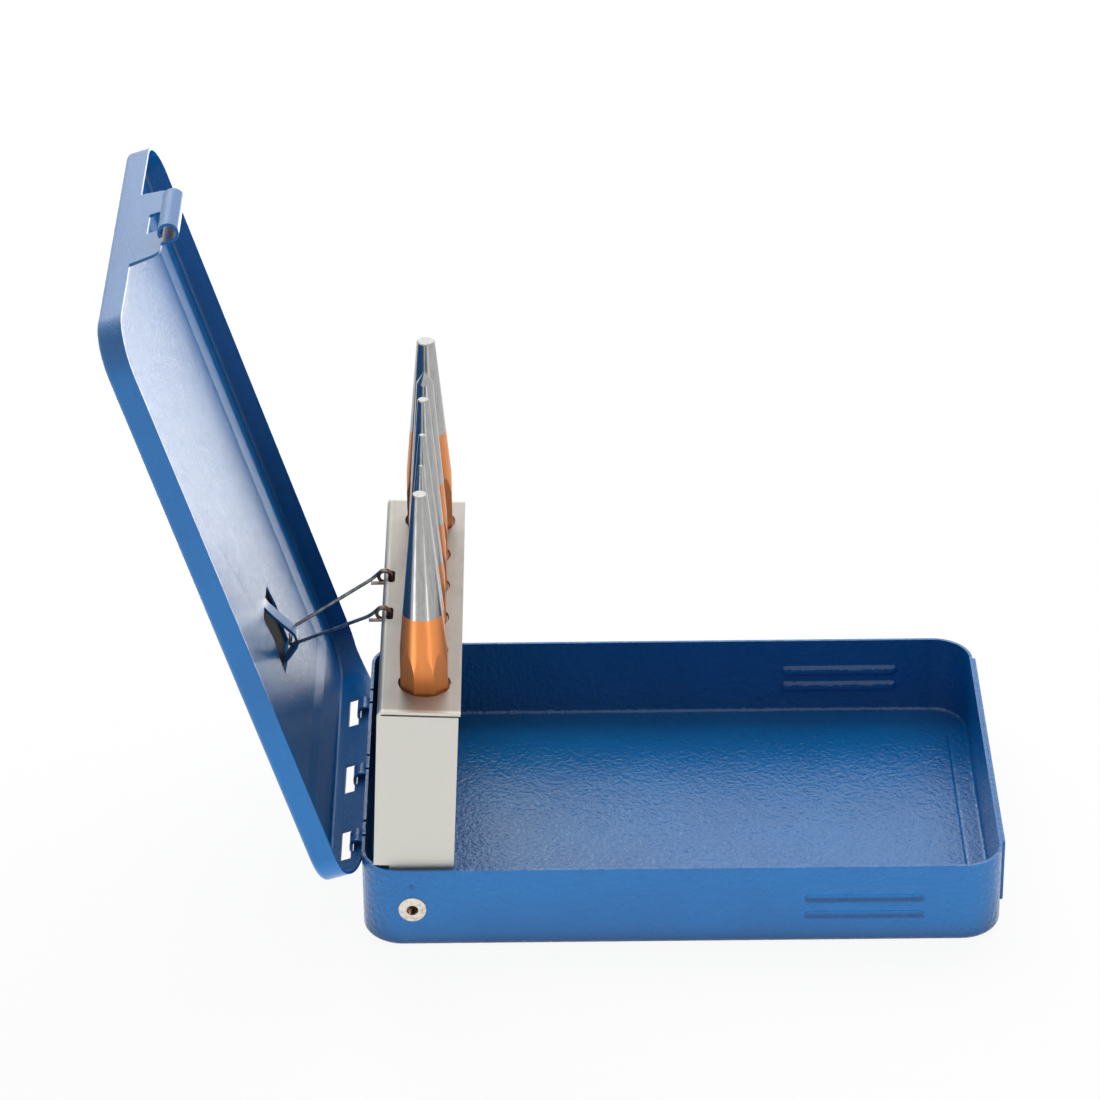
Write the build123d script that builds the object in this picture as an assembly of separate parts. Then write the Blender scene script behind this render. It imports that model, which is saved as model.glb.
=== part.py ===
from build123d import *
from math import cos, radians, sin, sqrt, tan
import os

# A folding steel case for six striking punches, standing open.
# Frame: X runs along the hinge, -Y is the latch side, +Y the hinge side, +Z is up.
# The origin is the middle of the tray's underside. All sizes are in millimetres.

# Sheet metal
sheet = 0.8
fine_gap = 0.05                 # between pieces that turn or rub on each other
seat_gap = 0.03                 # round a shank that is riveted tight

# Tray
case_width = 112.6              # X, over the side walls
case_length = 166.4             # Y, over the hinge wall and the catch plate
tray_height = 23.4
tray_corner = 10.6              # corner radius seen from above
floor_bend = 1.8                # outer radius where the floor turns up
crease_inset = 6.2              # floor crease behind the front face
crease_width = 0.8
crease_depth = 0.35
crease_near_end = 2.6           # crease ends from the inner side faces
crease_far_end = 12.6

# Grip ribs pressed into both side walls
rib_length = 31.5
rib_height = 2.4
rib_press = 0.65
rib_heights = [13.65, 8.6]
rib_back = 129.65                # rib centre from the hinge wall

# Detent dimple above each rack pivot
dimple_height = 19.0
dimple_radius = 1.0
dimple_press = 0.6

# Catch plate welded on the front wall
catch_thickness = 0.8
catch_bottom = 4.5
catch_end_inset = 10.8          # plate end from the tray's side face
nib_length = 9.0
nib_radius = 1.5
nib_reach = 0.9

# Lid, measured as when it is closed
lid_gap = 0.4                   # round the tray's sides and catch plate
lid_back_gap = 0.7
lid_top = 27.5
lid_depth = 6.6
lid_back_depth = 9.6
lid_bend = 1.6
lid_open_angle = 107.4
hinge_drop = 8.6                # hinge line below the lid's top face
back_ramp_start = 2.0           # where the deeper hinge wall starts, from the lid's side face
back_ramp_end = 13.5

# Three hinge hooks on the tray and their windows in the lid
hook_centres = [-36.0, -4.2, 28.9]
hook_width = 5.6
hook_slit = 1.0
hook_radius = 1.35
hook_rise = 0.5                 # hook's arc centre above the hinge line
hook_tail = 1.4
window_length = 13.8
window_near = 3.3              # window edges below the lid's top face
window_far = 6.6
window_notch = 7.3

# Latch tongue on the lid's front wall
latch_x = 0.9                   # middle of the latch window
tongue_from = -17.6
tongue_to = 18.4
tongue_flare = 1.6              # both sides widen towards the lid's edge
tongue_corner = 2.2
tongue_depth = 14.4
latch_window_width = 10.8
latch_window_top = 10.0
latch_window_bottom = 13.2
roll_from = -12.3
roll_to = 8.0
roll_drop = 17.0                # roll centre below the lid's top face
roll_radius = 2.7
roll_free_end = 205.0           # the curl's free edge, counted from its lowest point outwards

# Bridge pressed out of the lid for the wire link, from the lid's outer hinge face
bridge_x = 4.3
bridge_start = 37.0
bridge_end = 54.5
bridge_crest_start = 41.2
bridge_crest_end = 43.8
bridge_width = 4.4
bridge_sheet = 0.6              # drawn thinner than the lid
bridge_crest = 5.0              # crest's underside below the lid's top face
bridge_slot = 6.4               # open slot on each side of the bridge
bridge_slot_corner = 1.8

# Rack, in its own frame: the pivot is its origin, s runs up, n runs to the front
pivot_back = 13.1               # pivot behind the tray's hinge face
pivot_height = 11.5
rack_lean = 2.6
rack_side_gap = 0.9             # between tray wall and rack end
rack_back = 10.3
rack_front = 10.3
rack_lip = 10.8
rack_top = 58.85
rack_shelf = 4.65               # top of the bottom shelf below the pivot
rack_shelf_front = 8.6
rack_bend = 1.6
ear_slit = 0.5
ear_sweep = 10.4                # the ears' front foot stays inside this circle
ear_foot = 6.2                  # round foot at the back, clear of the tray's corner
notch_height = 12.4             # the back is notched below this for the tray's corners
corner_notch = 6.2
relief_gap = 2.9                # window in the back round the lid's bridge, when shut
relief_low = 20.0
relief_high = 44.0
relief_corner = 3.0
guide_height = 20.0
guide_flange = 5.0

# Tubular pivot rivets
rivet_radius = 2.2
rivet_bore = 1.35
rivet_head_radius = 3.6
rivet_head = 0.7
rivet_flare_radius = 3.1
rivet_flare = 0.6
washer_radius = 3.3

# Punches, struck end down in the rack
tool_back = 17.2               # tool row from the tray's hinge face
tool_foot = 6.95                 # struck ends above the underside
large_shank = 12.0
small_shank = 10.0
large_hole = 13.5
small_hole = 11.6
butt_chamfer = 2.5
butt_share = 0.74
tip_chamfer = 0.25
first_tool_inset = 14.4         # first hole from the rack's -X end
last_tool_inset = 11.6          # last hole from the rack's +X end
last_pitch = 18.0               # between the last two holes
tool_names = ["drift_punch_4", "drift_punch_1", "drift_punch_2", "drift_punch_3", "centre_punch", "drift_punch_5"]
tool_shanks = [large_shank, small_shank, small_shank, small_shank, small_shank, large_shank]
tool_tips = [3.8, 1.2, 1.8, 3.0, 3.9, 4.8]
tool_lengths = [118.4, 117.4, 117.3, 118.8, 118.4, 117.9]
tool_shoulders = [74.7, 76.0, 76.0, 76.0, 76.5, 78.6]
point_angle = 60.0              # centre punch

# Wire link between the lid's bridge and the rack's top
wire_radius = 0.475
link_half_width = 4.4           # at the bridge
link_eye_offset = 9.5           # at the rack
link_rise = 2.8                 # wire below the lid's top face, under the bridge
link_along = 42.6               # wire from the lid's outer hinge face
link_bridge_bend = 1.4
link_eye_bend = 2.2
eye_radius = 1.7
eye_drop = 0.45                  # eye centre below the rack's top face
eye_inset = 0.35                 # eye centre in front of the rack's back face
eye_start = 135.0
eye_tail = 3.8
eye_lead = 3.0
link_slot_length = 6.0
link_slot_shift = 1.2
link_slot_width = 1.9
link_slot_height = 3.5

# Places worked out from the sizes above
y_back = case_length / 2
y_front = -case_length / 2
half_width = case_width / 2
lid_front_y = y_front - lid_gap - sheet
lid_back_y = y_back + lid_back_gap + sheet
lid_half_width = half_width + lid_gap + sheet
lid_corner = tray_corner + lid_gap + sheet
hinge_y = lid_back_y - sheet / 2
hinge_z = lid_top - hinge_drop
pivot_y = y_back - pivot_back
rack_half_width = half_width - sheet - rack_side_gap
tool_y = y_back - tool_back
catch_z = lid_top - (latch_window_top + latch_window_bottom) / 2

hinge_line = Axis((0, hinge_y, hinge_z), (1, 0, 0))


def tool_place(index):
    # The last hole stands off by its own pitch, and the others share the rest evenly
    first = first_tool_inset - rack_half_width
    last = rack_half_width - last_tool_inset
    if index == len(tool_names) - 1:
        return last
    return first + index * (last - last_pitch - first) / (len(tool_names) - 2)


def hole_radius(index):
    return (large_hole if tool_shanks[index] == large_shank else small_hole) / 2


def block(low, high):
    # A box between two corners
    size = [high[i] - low[i] for i in range(3)]
    centre = [(high[i] + low[i]) / 2 for i in range(3)]
    return Pos(*centre) * Box(*size)


def rounded_block(half_x, low_y, high_y, radius, low_z, high_z):
    # An upright block with rounded corners seen from above
    outline = Pos(0, (low_y + high_y) / 2) * RectangleRounded(2 * half_x, high_y - low_y, radius)
    return Pos(0, 0, low_z) * extrude(outline, high_z - low_z)


def side_profile(outline, from_x, to_x):
    # Extrudes a sketch drawn in Y and Z along X
    return extrude(Plane.YZ.offset(from_x) * outline, to_x - from_x)


def lid_to_rest(shape):
    # Turns a piece drawn on the closed lid to where the open lid stands
    return shape.rotate(hinge_line, -lid_open_angle)


def rack_to_rest(shape):
    # Takes a piece from the rack's frame to where the rack stands
    return Pos(0, pivot_y, pivot_height) * Rot(rack_lean, 0, 0) * shape


def pressed_slot(side, centre_y, centre_z, length, height, press):
    # A groove pressed into a side wall from outside, as (what it adds inside, what it cuts outside)
    wall_x = side * (half_width - sheet)
    plane = Plane((wall_x, centre_y, centre_z), x_dir=(0, 1, 0), z_dir=(-side, 0, 0))
    swell = extrude(plane * SlotOverall(length, height), press)
    swell = fillet(swell.faces().sort_by(Axis.X)[0 if side > 0 else -1].edges(), press * 0.6)
    outer = Plane((side * half_width, centre_y, centre_z), x_dir=(0, 1, 0), z_dir=(-side, 0, 0))
    groove = extrude(outer * SlotOverall(length - sheet, height - sheet), press)
    return swell, groove


def hinge_hook(x):
    centre = (y_back + hook_radius, hinge_z + hook_rise)
    ring = Pos(*centre) * (Circle(hook_radius + sheet) - Circle(hook_radius))
    upper_half = Pos(centre[0], centre[1] + hook_radius) * Rectangle(4 * hook_radius, 2 * hook_radius)
    tail_y = centre[0] + hook_radius + sheet / 2
    tail = Pos(tail_y, centre[1] - hook_tail / 2) * Rectangle(sheet, hook_tail)
    root_y = y_back - sheet / 2
    root = Pos(root_y, centre[1] - hook_slit / 2) * Rectangle(sheet, hook_slit)
    outline = (ring & upper_half) + tail + root
    return side_profile(outline, x - hook_width / 2, x + hook_width / 2)


def make_base_tray():
    tray_front_y = y_front + catch_thickness
    outer = rounded_block(half_width, tray_front_y, y_back, tray_corner, 0, tray_height)
    outer = fillet(outer.faces().sort_by(Axis.Z)[0].edges(), floor_bend)
    inner = rounded_block(half_width - sheet, tray_front_y + sheet, y_back - sheet,
                          tray_corner - sheet, sheet, tray_height + sheet)
    inner = fillet(inner.faces().sort_by(Axis.Z)[0].edges(), floor_bend - sheet)
    tray = outer - inner

    for side in (-1, 1):
        presses = [(y_back - rib_back, z, rib_length, rib_height, rib_press) for z in rib_heights]
        presses.append((pivot_y, dimple_height, 2.01 * (dimple_radius + sheet / 2),
                        2 * (dimple_radius + sheet / 2), dimple_press))
        for press in presses:
            swell, groove = pressed_slot(side, *press)
            tray = tray + swell - groove
        hole = Cylinder(rivet_radius + seat_gap, 4 * sheet, rotation=(0, 90, 0))
        tray = tray - Pos(side * (half_width - sheet / 2), pivot_y, pivot_height) * hole

    notch_half = hook_width / 2 + hook_slit
    notch_z = hinge_z + hook_rise - hook_slit
    for x in hook_centres:
        notch = block((x - notch_half, y_back - 2 * sheet, notch_z), (x + notch_half, y_back + sheet, tray_height + sheet))
        tray = tray - notch + hinge_hook(x)

    crease_y = tray_front_y + crease_inset
    inner_half = half_width - sheet
    crease = block((crease_near_end - inner_half, crease_y - crease_width / 2, sheet - crease_depth),
                   (inner_half - crease_far_end, crease_y + crease_width / 2, 2 * sheet))
    return tray - crease


def make_catch_plate():
    half = half_width - catch_end_inset
    plate = block((-half, y_front, catch_bottom), (half, y_front + catch_thickness, tray_height))
    foot_corners = plate.edges().filter_by(Axis.Y).group_by(Axis.Z)[0]
    plate = fillet(foot_corners, 2.0)
    nib_y = y_front + nib_radius - nib_reach
    nib = Pos(latch_x, nib_y, catch_z) * Cylinder(nib_radius, nib_length - 2 * nib_radius, rotation=(0, 90, 0))
    for end in (-1, 1):
        nib += Pos(latch_x + end * (nib_length / 2 - nib_radius), nib_y, catch_z) * Sphere(nib_radius)
    front_half = block((-half, y_front - nib_radius, catch_bottom), (half, y_front + sheet / 2, tray_height))
    return plate + (nib & front_half)


def make_rivet(side):
    # A tubular rivet turned about its axis: head outside, flared foot inside the rack's ear
    wall = half_width
    foot = half_width - 2 * sheet - rack_side_gap - fine_gap
    profile = Polyline(
        (rivet_bore, wall + rivet_head), (rivet_head_radius - 0.3, wall + rivet_head),
        (rivet_head_radius, wall + rivet_head - 0.3), (rivet_head_radius, wall),
        (rivet_radius, wall), (rivet_radius, foot), (rivet_flare_radius, foot),
        (rivet_flare_radius, foot - rivet_flare / 2), (rivet_flare_radius - 0.3, foot - rivet_flare),
        (rivet_bore, foot - rivet_flare), close=True)
    turned = revolve(make_face(profile), Axis.Y)
    return Pos(0, pivot_y, pivot_height) * Rot(0, 0, -90 * side) * turned


def make_washer(side):
    thickness = rack_side_gap - 2 * fine_gap
    ring = Cylinder(washer_radius, thickness) - Cylinder(rivet_radius + fine_gap, 2 * thickness)
    x = side * (half_width - sheet - rack_side_gap / 2)
    return Pos(x, pivot_y, pivot_height) * Rot(0, 90, 0) * ring


def tool_axis_in_rack(s):
    # n of the upright tool row where it crosses height s of the leaning rack
    across = pivot_back - tool_back
    return (-across - s * sin(radians(rack_lean))) / cos(radians(rack_lean))


def cut_tool_holes(plate, s, thickness):
    for index in range(len(tool_names)):
        hole = Cylinder(hole_radius(index), 4 * thickness)
        plate = plate - Pos(tool_place(index), -tool_axis_in_rack(s), s) * hole
    return plate


def ear_outline():
    # Side view of an end ear: the first axis runs to the hinge side, the second up the rack
    ear_top = rack_top - sheet - ear_slit
    front_foot = sqrt(ear_sweep ** 2 - rack_shelf_front ** 2)
    upper = Pos((rack_back - rack_front) / 2, (ear_top + notch_height) / 2)
    upper = upper * Rectangle(rack_back + rack_front, ear_top - notch_height)
    lower = make_face(Polyline(
        (ear_foot, notch_height), (ear_foot, 0), (0, 0), (0, -ear_foot), (-rack_shelf_front, -front_foot),
        (-rack_front, 0), (-rack_front, notch_height), close=True))
    foot = Circle(ear_foot) & (Pos(ear_foot, -ear_foot) * Rectangle(2 * ear_foot, 2 * ear_foot))
    return upper + lower + foot


def make_rack_frame():
    shelf_z = -rack_shelf - sheet
    middle = Pos((rack_back - rack_lip) / 2, (rack_top + shelf_z) / 2)
    outer = middle * RectangleRounded(rack_back + rack_lip, rack_top - shelf_z, rack_bend)
    inner = middle * RectangleRounded(rack_back + rack_lip - 2 * sheet, rack_top - shelf_z - 2 * sheet,
                                      rack_bend - sheet)
    front_gap = Pos(-rack_shelf_front - rack_lip, (rack_top + shelf_z) / 2)
    front_gap = front_gap * Rectangle(2 * rack_lip, rack_top - shelf_z - 2 * rack_bend)
    shelf_gap = Pos(-rack_shelf_front - rack_lip, shelf_z) * Rectangle(2 * rack_lip, 4 * rack_bend)
    folded = outer - inner - front_gap - shelf_gap
    folded = side_profile(folded, -rack_half_width, rack_half_width)
    lip = block((-rack_half_width, -rack_lip, rack_top - sheet), (rack_half_width, 0, rack_top))
    lip_sides = block((-rack_half_width, -rack_lip - sheet, rack_top - 2 * rack_bend),
                      (rack_half_width, -rack_lip + 2 * rack_bend, rack_top + sheet))
    folded = folded - lip_sides + lip
    shelf_reach = sqrt(ear_foot ** 2 - shelf_z ** 2)
    for side in (-1, 1):
        # The back and the shelf stop short of the tray's round corners
        end = block((rack_half_width - corner_notch, -rack_lip, -2 * rack_lip),
                    (rack_half_width + sheet, rack_back + sheet, notch_height))
        shelf_end = block((rack_half_width - corner_notch, -rack_lip, -2 * rack_lip),
                          (rack_half_width + sheet, shelf_reach, notch_height))
        trim = end - shelf_end
        folded -= trim if side > 0 else mirror(trim, Plane.YZ)
    relief_half = bridge_width / 2 + relief_gap
    relief = block((bridge_x - relief_half, rack_back - 2 * sheet, relief_low),
                   (bridge_x + relief_half, rack_back + sheet, relief_high))
    folded -= fillet(relief.edges().filter_by(Axis.Y), relief_corner)
    slit = block((-case_width, -case_width, rack_top - sheet - ear_slit),
                 (case_width, rack_back - rack_bend, rack_top - sheet))
    hole = side_profile(Sketch() + Circle(rivet_radius + fine_gap), -case_width, case_width)
    for side in (-1, 1):
        faces = sorted((side * rack_half_width, side * (rack_half_width - sheet)))
        folded += side_profile(ear_outline(), *faces) - slit - hole
    folded = cut_tool_holes(folded, rack_top - sheet / 2, sheet)
    back_edge = rack_back - eye_inset - eye_radius
    slot_foot = rack_top - eye_drop - eye_radius + link_slot_width / 2
    for side in (-1, 1):
        slot_x = bridge_x + side * link_eye_offset - link_slot_shift
        slot = extrude(SlotOverall(link_slot_length, link_slot_width), 2 * sheet, both=True)
        folded -= Pos(slot_x, back_edge, rack_top) * slot
        folded -= block((slot_x - link_slot_length / 2, rack_back - 2 * sheet, slot_foot - link_slot_height),
                        (slot_x + link_slot_length / 2, rack_back + sheet, slot_foot))
    return rack_to_rest(folded)


def make_guide_shelf():
    half = rack_half_width - sheet - fine_gap
    back = rack_back - sheet
    shelf = block((-half, -rack_shelf_front, guide_height - sheet / 2), (half, back, guide_height + sheet / 2))
    flange = block((-half, back - sheet, guide_height - guide_flange), (half, back, guide_height))
    return rack_to_rest(cut_tool_holes(shelf + flange, guide_height, sheet))


def make_tool(index):
    flat = tool_shanks[index]
    corner = flat / 2 / cos(radians(22.5))
    tip = tool_tips[index] / 2
    length = tool_lengths[index]
    taper = (flat / 2 - tip) / (length - tool_shoulders[index])
    taper_start = tool_shoulders[index] - (corner - flat / 2) / taper
    butt = corner * butt_share
    points = [(0, 0), (butt, 0), (corner, butt_chamfer), (corner, taper_start)]
    if tool_names[index] == "centre_punch":
        point_height = tip / tan(radians(point_angle / 2))
        points += [(tip + taper * point_height, length - point_height), (0, length)]
    else:
        points += [(tip + taper * tip_chamfer, length - tip_chamfer), (tip - tip_chamfer, length), (0, length)]
    round_bar = revolve(Plane.XZ * make_face(Polyline(*points, close=True)), Axis.Z)
    octagon = extrude(RegularPolygon(flat / 2, 8, major_radius=False, rotation=22.5), length)
    return Pos(tool_place(index), tool_y, tool_foot) * (round_bar & octagon)


def lid_tongue():
    # Flat part, drawn in X and in height below the lid's top face
    rim = lid_depth - lid_bend
    outline = make_face(Polyline(
        (tongue_from - tongue_flare, -rim), (tongue_from - tongue_flare, -lid_depth),
        (tongue_from, -tongue_depth), (tongue_to, -tongue_depth), (tongue_to + tongue_flare, -lid_depth),
        (tongue_to + tongue_flare, -rim), close=True))
    free_corners = outline.vertices().sort_by(Axis.Y)[:2]
    outline = fillet(free_corners, tongue_corner)
    wall = Plane((0, lid_front_y + sheet, lid_top), x_dir=(1, 0, 0), z_dir=(0, -1, 0))
    tongue = extrude(wall * outline, sheet)

    # Finger roll: its first axis runs down the tongue, its second out of it
    roll_out = roll_radius - sheet
    ring = Circle(roll_radius) - Circle(roll_out)
    reach = 3 * roll_radius
    free = radians(roll_free_end)
    middle = radians((roll_free_end + 270) / 2)
    mouth = make_face(Polyline(
        (0, 0), (reach * cos(free), reach * sin(free)),
        (reach * cos(middle), reach * sin(middle)), (0, -reach), close=True))
    strip_top = tongue_depth - roll_drop - 0.5
    strip = Pos(strip_top / 2, -roll_out - sheet / 2) * Rectangle(-strip_top, sheet)
    section = ring - mouth + strip
    end_plane = Plane((roll_to, lid_front_y - roll_out, lid_top - roll_drop), x_dir=(0, 0, -1), z_dir=(-1, 0, 0))
    return tongue + extrude(end_plane * section, roll_to - roll_from)


def lid_bridge():
    # The strap's side view: distance along the lid, and depth below its top face
    top_side = [(bridge_start - 1.0, 0), (bridge_start, 0), (bridge_crest_start, bridge_crest),
                (bridge_crest_end, bridge_crest), (bridge_end, 0), (bridge_end + 1.0, 0)]
    under_side = [(along, depth + bridge_sheet) for along, depth in top_side]
    outline = make_face(Polyline(*top_side, *reversed(under_side), close=True))
    side = Plane((bridge_x + bridge_width / 2, lid_back_y, lid_top), x_dir=(0, -1, 0), z_dir=(1, 0, 0))
    return extrude(side * outline, -bridge_width)


def make_lid_shell():
    foot = lid_top - lid_back_depth
    outer = rounded_block(lid_half_width, lid_front_y, lid_back_y, lid_corner, foot, lid_top)
    outer = fillet(outer.faces().sort_by(Axis.Z)[-1].edges(), lid_bend)
    inner = rounded_block(lid_half_width - sheet, lid_front_y + sheet, lid_back_y - sheet,
                          lid_corner - sheet, foot - sheet, lid_top - sheet)
    inner = fillet(inner.faces().sort_by(Axis.Z)[-1].edges(), lid_bend - sheet)
    shell = outer - inner

    # The side and front walls are shallower than the hinge wall
    rim = lid_top - lid_depth
    ramp_low = lid_half_width - back_ramp_end
    ramp_high = lid_half_width - back_ramp_start
    reach = lid_half_width + lid_corner
    below = foot - lid_corner
    shell -= block((-reach, lid_front_y - sheet, below), (reach, lid_back_y - lid_corner, rim))
    for side in (-1, 1):
        wedge = make_face(Polyline((side * ramp_low, below), (side * ramp_low, foot), (side * ramp_high, rim),
                                   (side * reach, rim), (side * reach, below), close=True))
        shell -= extrude(Plane.XZ.offset(-lid_back_y - sheet) * wedge, 2 * lid_corner)

    half_notch = hook_width / 2 + hook_slit
    for x in hook_centres:
        shell -= block((x - window_length / 2, lid_back_y - 2 * sheet, lid_top - window_far),
                       (x + window_length / 2, lid_back_y + sheet, lid_top - window_near))
        shell -= block((x - half_notch, lid_back_y - 2 * sheet, lid_top - window_notch),
                       (x + half_notch, lid_back_y + sheet, lid_top - window_far + fine_gap))

    shell += lid_tongue()
    shell -= block((latch_x - latch_window_width / 2, lid_front_y - sheet, lid_top - latch_window_bottom),
                   (latch_x + latch_window_width / 2, lid_front_y + 2 * sheet, lid_top - latch_window_top))

    opening_half = bridge_width / 2 + bridge_slot
    opening = block((bridge_x - opening_half, lid_back_y - bridge_end, lid_top - 2 * sheet),
                    (bridge_x + opening_half, lid_back_y - bridge_start, lid_top + sheet))
    opening = fillet(opening.edges().filter_by(Axis.Z), bridge_slot_corner)
    shell = shell - opening + lid_bridge()
    return lid_to_rest(shell)


def link_points():
    # Y and Z of the link's cross wire in the lid's bridge, and of its eyes on the rack
    along = lid_back_y - link_along - hinge_y
    below = lid_top - link_rise - hinge_z
    turn = radians(-lid_open_angle)
    bridge = (hinge_y + along * cos(turn) - below * sin(turn), hinge_z + along * sin(turn) + below * cos(turn))
    back = rack_back - eye_inset
    up = rack_top - eye_drop
    lean = radians(rack_lean)
    eye = (pivot_y + back * cos(lean) - up * sin(lean), pivot_height + back * sin(lean) + up * cos(lean))
    return bridge, eye


def make_wire_link():
    bridge, eye = link_points()

    def on_eye(angle):
        # Angles run as seen from the -X side, from the latch side upwards
        return (eye[0] - eye_radius * cos(radians(angle)), eye[1] + eye_radius * sin(radians(angle)))

    start = on_eye(eye_start)
    lead_y = start[0] + eye_lead * sin(radians(eye_start))
    lead_z = start[1] + eye_lead * cos(radians(eye_start))
    halves = []
    for side in (-1, 1):
        eye_x = bridge_x + side * link_eye_offset
        leg = FilletPolyline(
            (bridge_x, *bridge), (bridge_x + side * link_half_width, *bridge),
            (eye_x, lead_y, lead_z), (eye_x, *start), radius=[link_bridge_bend, link_eye_bend])
        middle = on_eye((eye_start - 90) / 2)
        low = on_eye(-90)
        turn = ThreePointArc((eye_x, *start), (eye_x, *middle), (eye_x, *low))
        tail = Line((eye_x, *low), (eye_x, low[0] + eye_tail, low[1]))
        path = Wire(leg.edges() + turn.edges() + tail.edges())
        section = Plane((bridge_x, *bridge), z_dir=(side, 0, 0)) * Circle(wire_radius)
        halves.append(sweep(section, path=path))
    return halves[0] + halves[1]


def pair(maker):
    return Compound(children=[maker(-1), maker(1)])


def save(name, shape):
    solids = shape.solids()
    whole = solids[0] if len(solids) == 1 else Compound(children=list(solids))
    whole.label = name
    export_step(whole, os.path.join("parts", name + ".step"))


def main():
    os.makedirs("parts", exist_ok=True)
    save("base_tray", make_base_tray())
    save("catch_plate", make_catch_plate())
    save("pivot_rivets", pair(make_rivet))
    save("pivot_washers", pair(make_washer))
    save("rack_frame", make_rack_frame())
    save("guide_shelf", make_guide_shelf())
    save("lid_shell", make_lid_shell())
    save("wire_link", make_wire_link())
    for index, name in enumerate(tool_names):
        save(name, make_tool(index))
    bridge, eye = link_points()
    length = sqrt((bridge[0] - eye[0]) ** 2 + (bridge[1] - eye[1]) ** 2)
    print("hinge", round(hinge_y, 3), round(hinge_z, 3), "pivot", round(pivot_y, 3), pivot_height)
    print("link bridge", bridge, "eye", eye, "length", round(length, 3))


main()
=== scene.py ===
import math
import bmesh
import bpy
from mathutils import Matrix, Vector


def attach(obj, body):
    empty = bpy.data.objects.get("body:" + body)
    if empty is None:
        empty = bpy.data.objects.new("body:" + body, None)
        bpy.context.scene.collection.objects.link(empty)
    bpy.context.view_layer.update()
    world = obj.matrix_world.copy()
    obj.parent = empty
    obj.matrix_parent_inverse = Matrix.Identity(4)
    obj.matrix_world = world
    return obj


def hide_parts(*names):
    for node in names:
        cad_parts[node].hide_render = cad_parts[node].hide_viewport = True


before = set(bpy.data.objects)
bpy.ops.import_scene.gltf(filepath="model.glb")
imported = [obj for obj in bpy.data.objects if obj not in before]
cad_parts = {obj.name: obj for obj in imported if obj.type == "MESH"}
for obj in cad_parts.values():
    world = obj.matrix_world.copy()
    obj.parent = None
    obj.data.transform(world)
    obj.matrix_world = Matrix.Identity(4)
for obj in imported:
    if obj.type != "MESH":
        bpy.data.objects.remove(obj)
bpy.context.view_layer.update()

mm = 0.001


class SocketValue:
    # a socket that can stand in a sum
    def __init__(self, kit, socket):
        self.kit = kit
        self.socket = socket

    def __add__(self, other):
        return self.kit.maths("ADD", self, other)

    def __radd__(self, other):
        return self.kit.maths("ADD", other, self)

    def __sub__(self, other):
        return self.kit.maths("SUBTRACT", self, other)

    def __rsub__(self, other):
        return self.kit.maths("SUBTRACT", other, self)

    def __mul__(self, other):
        return self.kit.maths("MULTIPLY", self, other)

    def __rmul__(self, other):
        return self.kit.maths("MULTIPLY", other, self)


class ShaderKit:
    # builds the nodes of one material, or of the world
    def __init__(self, owner, ending="OutputMaterial"):
        self.owner = owner
        owner.use_nodes = True
        self.tree = owner.node_tree
        self.tree.nodes.clear()
        self.ending = self.tree.nodes.new("ShaderNode" + ending)

    def node(self, kind, settings=None, sockets=None, output=0):
        made = self.tree.nodes.new("ShaderNode" + kind)
        for key, value in (settings or {}).items():
            setattr(made, key, value)
        for key, value in (sockets or {}).items():
            socket = made.inputs[key]
            if isinstance(value, SocketValue):
                self.tree.links.new(value.socket, socket)
            else:
                socket.default_value = (*value, 1) if socket.type == "RGBA" else value
        return SocketValue(self, made.outputs[output])

    def maths(self, operation, *values):
        return self.node("Math", {"operation": operation}, dict(enumerate(values)))

    def objectPlace(self):
        return self.node("TexCoord", output="Object")

    def axes(self, place):
        first = self.node("SeparateXYZ", {}, {0: place})
        return [SocketValue(self, socket) for socket in first.socket.node.outputs]

    def noise(self, place, scale, detail=2.0, stretch=(1, 1, 1)):
        moved = self.node("Mapping", {}, {"Vector": place, "Scale": stretch})
        return self.node("TexNoise", {}, {"Vector": moved, "Scale": scale, "Detail": detail})

    def blend(self, factor, first, second):
        return self.node("Mix", {"data_type": "RGBA"}, {0: factor, 6: first, 7: second}, output=2)

    def step(self, value, low, high):
        settings = {"interpolation_type": "SMOOTHSTEP"}
        return self.node("MapRange", settings, {"Value": value, "From Min": low, "From Max": high})

    def bump(self, height, distance, strength=1.0):
        return self.node("Bump", {}, {"Height": height, "Distance": distance, "Strength": strength})

    def looks(self):
        # 1 for what the eye, a mirror or glass sees, 0 for the light that is shed
        names = ("Is Camera Ray", "Is Glossy Ray", "Is Transmission Ray")
        eye, mirror, glass = [self.node("LightPath", output=name) for name in names]
        return eye + mirror + glass

    def end(self, shader):
        self.tree.links.new(shader.socket, self.ending.inputs["Surface"])
        return self.owner

    def finish(self, **sockets):
        named = {key.replace("_", " "): value for key, value in sockets.items()}
        return self.end(self.node("BsdfPrincipled", {}, named))


def newMaterial(name):
    return ShaderKit(bpy.data.materials.new(name))


# peel is the size and the depth of the paint's ripple
paintLook = {
    "colour": (0.0045, 0.138, 0.400), "shade": (0.004, 0.124, 0.370), "roughness": 0.075, "gloss": 1.5,
    "trayPeel": (1.3, 0.272), "lidPeel": (0.38, 0.1),
}


def makeBluePaint(name, peel):
    size, depth = peel
    kit = newMaterial(name)
    place = kit.objectPlace()
    ripple = kit.noise(place, 1 / (size * mm), detail=1.5)
    fine = kit.noise(place, 2.4 / (size * mm), detail=1.0)
    cloud = kit.noise(place, 35, detail=3)
    colour = kit.blend(kit.step(cloud, 0.35, 0.65), paintLook["colour"], paintLook["shade"])
    rough = paintLook["roughness"] + (cloud - 0.5) * 0.06
    normal = kit.bump(ripple + fine * 0.4, depth * mm)
    return kit.finish(Base_Color=colour, Roughness=rough, IOR=paintLook["gloss"], Normal=normal)


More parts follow.
